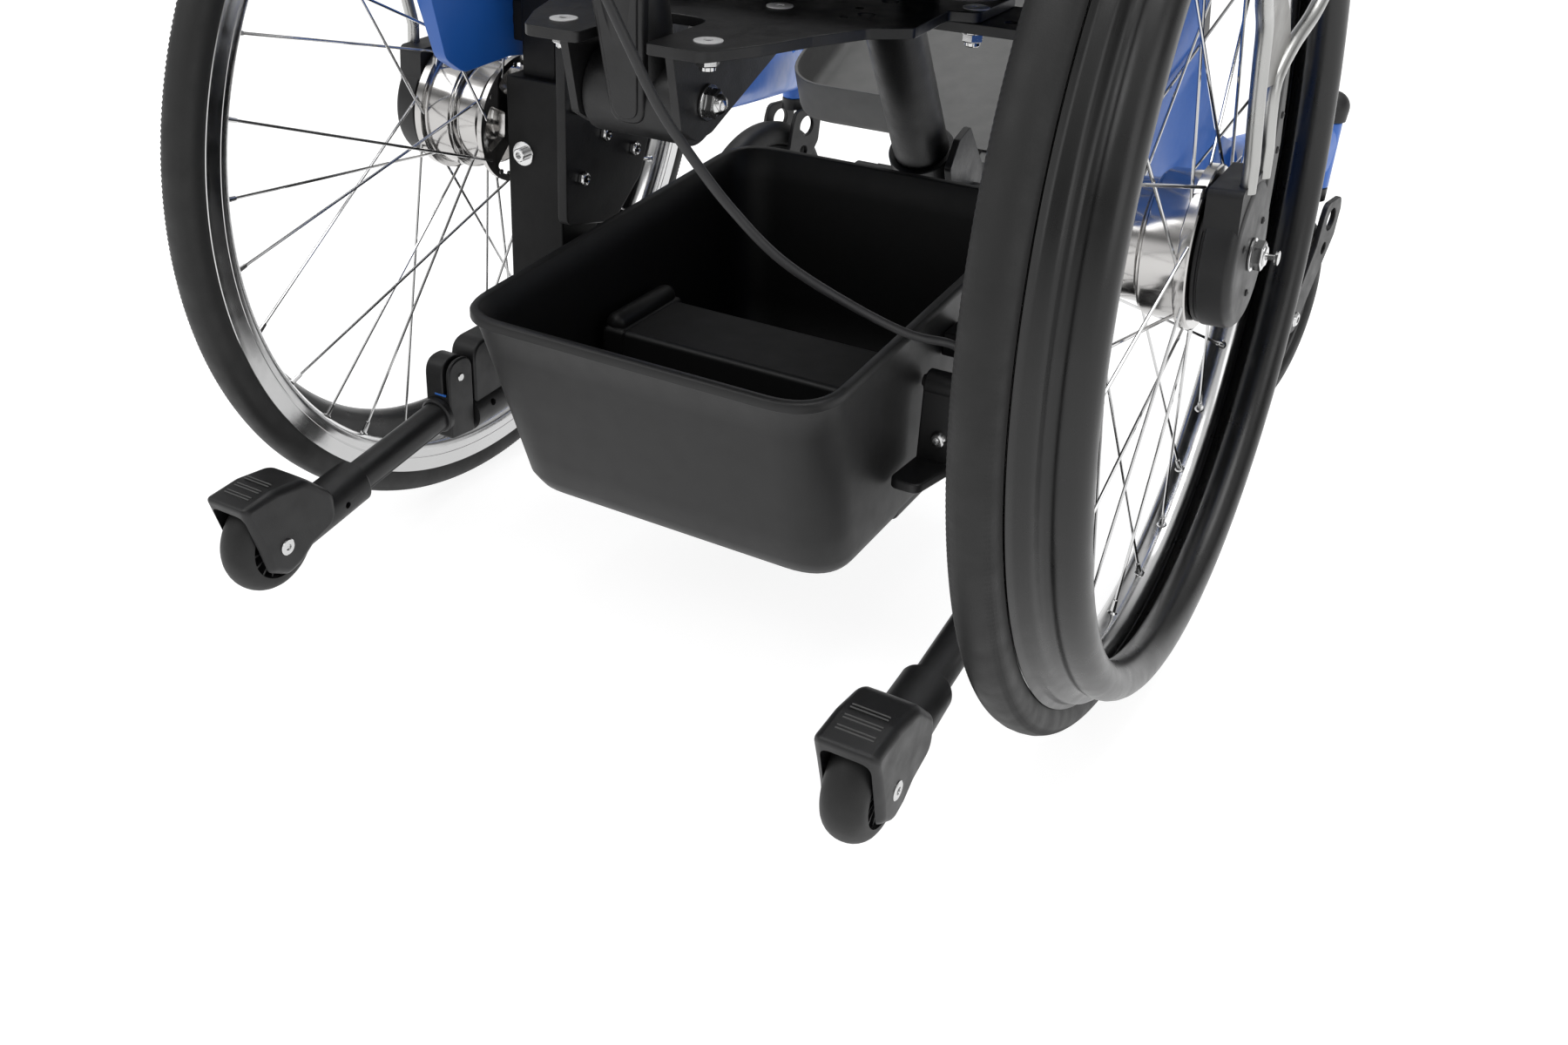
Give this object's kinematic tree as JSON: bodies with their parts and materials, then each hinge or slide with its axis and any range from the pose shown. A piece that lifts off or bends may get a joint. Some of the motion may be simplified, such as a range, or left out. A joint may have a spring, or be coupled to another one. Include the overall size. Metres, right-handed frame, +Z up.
{
  "type": "paediatric manual wheelchair",
  "caption": "Child's manual wheelchair base with lever-drive rear wheels, casters, seat plate, tilting back post, basket, foot tray and folding anti-tip arms.",
  "frame": {"origin": "on the floor under the middle of the chair's length and width", "axes": "+Z up, -Y the way the chair faces, +X the chair's left side"},
  "size_m": [0.6268, 1.0901, 0.8875],
  "materials": {
    "black_powder": "satin black powder coat on steel",
    "black_plastic": "fine-grained black moulding",
    "basket_plastic": "dull black vacuum-formed sheet",
    "tyre_rubber": "smooth dark grey-black rubber",
    "rim_metal": "polished aluminium",
    "bright_metal": "polished hub shell and bright spokes",
    "chrome": "bright zinc or chrome plated fasteners",
    "rod_metal": "bright bent rod",
    "blue_paint": "metallic blue enamel",
    "tray_plastic": "grained dark grey sheet",
    "cable_sleeve": "black cable sleeve",
    "fabric": "black woven cover",
    "grip_rubber": "matte black rubber"
  },
  "bodies": {
    "frame": {"side_frame_left": "blue_paint", "side_frame_right": "blue_paint", "front_leg_left": "blue_paint", "front_leg_right": "blue_paint", "axle_column_left": "black_powder", "axle_column_right": "black_powder", "axle_plate_left": "black_powder", "axle_plate_right": "black_powder", "seat_plate": "black_powder", "seat_cross_bar": "black_powder", "pivot_gusset_left": "black_powder", "pivot_gusset_right": "black_powder", "pivot_bolt": "chrome", "seat_shell": "black_plastic", "seat_cushion": "fabric", "lift_tube": "black_powder", "front_cross_tube": "black_powder", "tray_hanger": "black_powder", "basket": "basket_plastic", "tip_receiver_left": "black_plastic", "tip_receiver_right": "black_plastic", "pedal_bracket": "black_powder", "axle_pin_left": "chrome", "axle_pin_right": "chrome", "brake_cable": "cable_sleeve"},
    "rear_wheel_left": {"rear_tyre_left": "tyre_rubber", "rear_rim_left": "rim_metal", "handrim_left": "grip_rubber", "hub_and_spokes_left": "bright_metal"},
    "drive_lever_left": {"lever_housing_left": "black_plastic", "lever_loop_left": "rod_metal", "lever_grip_left": "grip_rubber"},
    "axle_button_left": {"axle_button_left": "chrome"},
    "caster_fork_left": {"caster_fork_left": "black_powder"},
    "caster_wheel_left": {"caster_wheel_left": "tyre_rubber"},
    "tip_arm_left": {"tip_arm_left": "black_plastic"},
    "tip_pin_left": {"tip_pin_left": "rim_metal"},
    "tip_hood_left": {"tip_hood_left": "black_plastic"},
    "tip_wheel_left": {"tip_wheel_left": "tyre_rubber"},
    "rear_wheel_right": {"rear_tyre_right": "tyre_rubber", "rear_rim_right": "rim_metal", "handrim_right": "grip_rubber", "hub_and_spokes_right": "bright_metal"},
    "drive_lever_right": {"lever_housing_right": "black_plastic", "lever_loop_right": "rod_metal", "lever_grip_right": "grip_rubber"},
    "axle_button_right": {"axle_button_right": "chrome"},
    "caster_fork_right": {"caster_fork_right": "black_powder"},
    "caster_wheel_right": {"caster_wheel_right": "tyre_rubber"},
    "tip_arm_right": {"tip_arm_right": "black_plastic"},
    "tip_pin_right": {"tip_pin_right": "rim_metal"},
    "tip_hood_right": {"tip_hood_right": "black_plastic"},
    "tip_wheel_right": {"tip_wheel_right": "tyre_rubber"},
    "back": {"back_post": "black_powder", "back_shell": "black_plastic", "back_cushion": "fabric", "push_bar": "black_powder"},
    "foot_tray": {"foot_tray": "tray_plastic"},
    "foot_pedal": {"foot_pedal": "black_powder"}
  },
  "joints": [
    {"name": "rear_wheel_spin_left", "type": "hinge", "parent": "frame", "child": "rear_wheel_left", "pos_m": [0.248, 0.084, 0.2946], "axis": [0.9986, 0, 0.0523], "continuous": true},
    {"name": "drive_lever_swing_left", "type": "hinge", "parent": "frame", "child": "drive_lever_left", "pos_m": [0.248, 0.084, 0.2946], "axis": [0.9986, 0, 0.0523], "range_deg": [-35, 35]},
    {"name": "axle_button_press_left", "type": "slide", "parent": "frame", "child": "axle_button_left", "axis": [-0.9986, 0, -0.0523], "range_m": [0, 0.003], "stiffness_N_per_m": 800},
    {"name": "caster_swivel_left", "type": "hinge", "parent": "frame", "child": "caster_fork_left", "pos_m": [0.254, -0.424, 0.1945], "axis": [0, 0, 1], "continuous": true},
    {"name": "caster_roll_left", "type": "hinge", "parent": "caster_fork_left", "child": "caster_wheel_left", "pos_m": [0.26368, -0.38519, 0.0875], "axis": [0.9703, -0.2419, 0], "continuous": true},
    {"name": "rear_wheel_spin_right", "type": "hinge", "parent": "frame", "child": "rear_wheel_right", "pos_m": [-0.248, 0.084, 0.2946], "axis": [0.9986, 0, -0.0523], "continuous": true},
    {"name": "drive_lever_swing_right", "type": "hinge", "parent": "frame", "child": "drive_lever_right", "pos_m": [-0.248, 0.084, 0.2946], "axis": [0.9986, 0, -0.0523], "range_deg": [-35, 35]},
    {"name": "axle_button_press_right", "type": "slide", "parent": "frame", "child": "axle_button_right", "axis": [0.9986, 0, -0.0523], "range_m": [0, 0.003], "stiffness_N_per_m": 800},
    {"name": "caster_swivel_right", "type": "hinge", "parent": "frame", "child": "caster_fork_right", "pos_m": [-0.254, -0.424, 0.1945], "axis": [0, 0, 1], "continuous": true},
    {"name": "caster_roll_right", "type": "hinge", "parent": "caster_fork_right", "child": "caster_wheel_right", "pos_m": [-0.24843, -0.38439, 0.0875], "axis": [0.9903, -0.1392, 0], "continuous": true},
    {"name": "back_recline", "type": "hinge", "parent": "frame", "child": "back", "pos_m": [0, 0.246, 0.378], "axis": [-1, 0, 0], "range_deg": [0, 30], "deforming": ["brake_cable"]},
    {"name": "tray_flip", "type": "hinge", "parent": "frame", "child": "foot_tray", "pos_m": [0, -0.327, 0.188], "axis": [-1, 0, 0], "range_deg": [0, 60]},
    {"name": "pedal_press", "type": "hinge", "parent": "frame", "child": "foot_pedal", "pos_m": [-0.1445, 0.124, 0.19], "axis": [1, 0, 0], "range_deg": [-15, 0], "stiffness_Nm_per_rad": 2},
    {"name": "tip_arm_fold_left", "type": "hinge", "parent": "frame", "child": "tip_arm_left", "pos_m": [0.2115, 0.1835, 0.1285], "axis": [1, 0, 0], "range_deg": [0, 70]},
    {"name": "tip_pin_press_left", "type": "slide", "parent": "tip_arm_left", "child": "tip_pin_left", "axis": [1, 0, 0], "range_m": [0, 0.002], "stiffness_N_per_m": 600},
    {"name": "tip_length_slide_left", "type": "slide", "parent": "tip_arm_left", "child": "tip_hood_left", "axis": [0, 0.9903, -0.1392], "range_m": [0, 0.022]},
    {"name": "tip_wheel_spin_left", "type": "hinge", "parent": "tip_hood_left", "child": "tip_wheel_left", "pos_m": [0.213, 0.369, 0.082], "axis": [1, 0, 0], "continuous": true},
    {"name": "tip_arm_fold_right", "type": "hinge", "parent": "frame", "child": "tip_arm_right", "pos_m": [-0.2115, 0.1835, 0.1285], "axis": [1, 0, 0], "range_deg": [0, 70]},
    {"name": "tip_pin_press_right", "type": "slide", "parent": "tip_arm_right", "child": "tip_pin_right", "axis": [1, 0, 0], "range_m": [0, 0.002], "stiffness_N_per_m": 600},
    {"name": "tip_length_slide_right", "type": "slide", "parent": "tip_arm_right", "child": "tip_hood_right", "axis": [0, 0.9903, -0.1392], "range_m": [0, 0.022]},
    {"name": "tip_wheel_spin_right", "type": "hinge", "parent": "tip_hood_right", "child": "tip_wheel_right", "pos_m": [-0.213, 0.369, 0.082], "axis": [1, 0, 0], "continuous": true}
  ]
}
